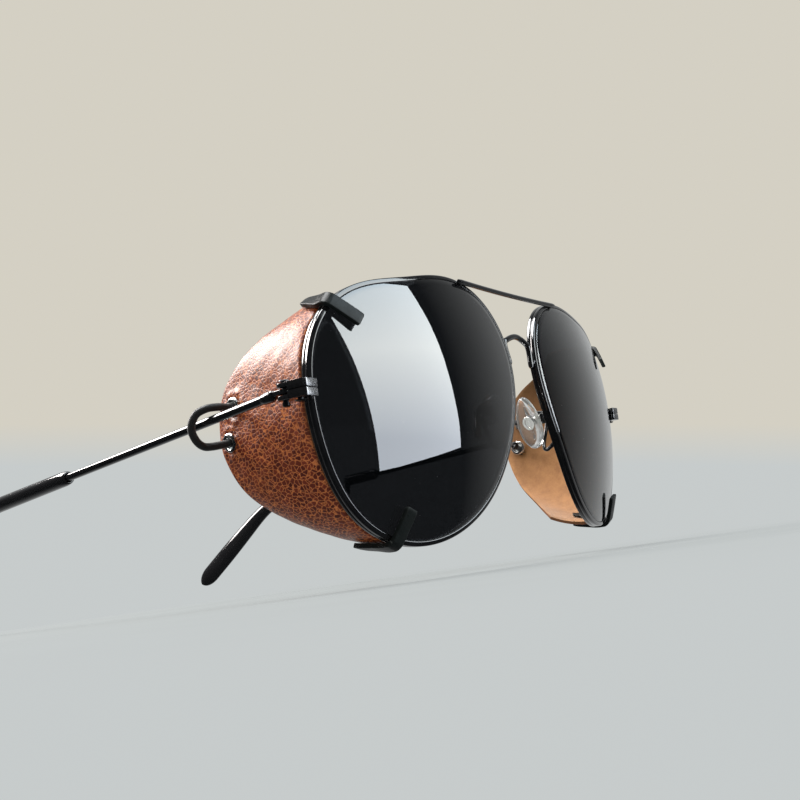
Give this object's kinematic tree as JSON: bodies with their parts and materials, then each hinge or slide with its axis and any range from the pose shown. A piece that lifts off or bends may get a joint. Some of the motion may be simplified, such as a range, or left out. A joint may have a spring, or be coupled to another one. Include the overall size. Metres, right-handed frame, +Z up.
{
  "type": "glacier glasses",
  "caption": "Wire pilot-shaped sunglasses with brow bar, dark curved lenses, folding wire temples, clear nose pads and clip-on leather side shields.",
  "frame": {"origin": "on the ground, at the centre of the bounding box's bottom", "axes": "+Z up, -Y the way the lenses face, +X the wearer's left; the temples run back along +Y"},
  "size_m": [0.1342, 0.1598, 0.0556],
  "materials": {
    "black_wire": "glossy black paint on wire",
    "black_spring_strip": "black, brushed on the faces",
    "smoke_lens": "dark smoke tint, polished",
    "clear_pad": "clear silicone",
    "screw_steel": "satin",
    "eyelet_metal": "bright",
    "brown_leather": "pebbled grain outside, suede inside",
    "elastic_cord": "round braided elastic",
    "black_sleeve": "glossy"
  },
  "bodies": {
    "front": {"brow_bar": "black_wire", "bridge": "black_wire", "rim_right": "black_wire", "lens_right": "smoke_lens", "end_piece_right": "black_wire", "hinge_screw_right": "screw_steel", "rim_lock_screw_right": "screw_steel", "pad_arm_right": "black_wire", "pad_screw_right": "screw_steel", "shield_leather_right": "brown_leather", "shield_clip_upper_right": "black_spring_strip", "shield_clip_lower_right": "black_spring_strip", "clip_leaf_upper_right": "black_spring_strip", "clip_leaf_lower_right": "black_spring_strip", "rim_left": "black_wire", "lens_left": "smoke_lens", "end_piece_left": "black_wire", "hinge_screw_left": "screw_steel", "rim_lock_screw_left": "screw_steel", "pad_arm_left": "black_wire", "pad_screw_left": "screw_steel", "shield_leather_left": "brown_leather", "shield_clip_upper_left": "black_spring_strip", "shield_clip_lower_left": "black_spring_strip", "clip_leaf_upper_left": "black_spring_strip", "clip_leaf_lower_left": "black_spring_strip"},
    "temple_right": {"hinge_tongue_right": "black_wire", "temple_wire_right": "black_wire", "temple_sleeve_right": "black_sleeve", "cord_loop_right": "elastic_cord", "eyelet_upper_right": "eyelet_metal", "eyelet_lower_right": "eyelet_metal", "cord_knot_upper_right": "elastic_cord", "cord_knot_lower_right": "elastic_cord"},
    "temple_left": {"hinge_tongue_left": "black_wire", "temple_wire_left": "black_wire", "temple_sleeve_left": "black_sleeve", "cord_loop_left": "elastic_cord", "eyelet_upper_left": "eyelet_metal", "eyelet_lower_left": "eyelet_metal", "cord_knot_upper_left": "elastic_cord", "cord_knot_lower_left": "elastic_cord"},
    "nose_pad_right": {"pad_insert_right": "screw_steel", "nose_pad_right": "clear_pad"},
    "nose_pad_left": {"pad_insert_left": "screw_steel", "nose_pad_left": "clear_pad"}
  },
  "joints": [
    {"name": "temple_fold_right", "type": "hinge", "parent": "front", "child": "temple_right", "pos_m": [-0.0654, -0.06436, 0.03106], "axis": [0, 0.0319, -0.9995], "range_deg": [0, 58], "deforming": ["shield_leather_right"]},
    {"name": "nose_pad_rock_right", "type": "hinge", "parent": "front", "child": "nose_pad_right", "pos_m": [-0.01265, -0.07357, 0.02717], "axis": [0.2467, -0.9538, -0.1714], "range_deg": [-6, 6]},
    {"name": "temple_fold_left", "type": "hinge", "parent": "front", "child": "temple_left", "pos_m": [0.0654, -0.06436, 0.03106], "axis": [0, -0.0319, 0.9995], "range_deg": [0, 70], "deforming": ["shield_leather_left"]},
    {"name": "nose_pad_rock_left", "type": "hinge", "parent": "front", "child": "nose_pad_left", "pos_m": [0.01265, -0.07357, 0.02717], "axis": [-0.2467, -0.9538, -0.1714], "range_deg": [-6, 6]}
  ]
}
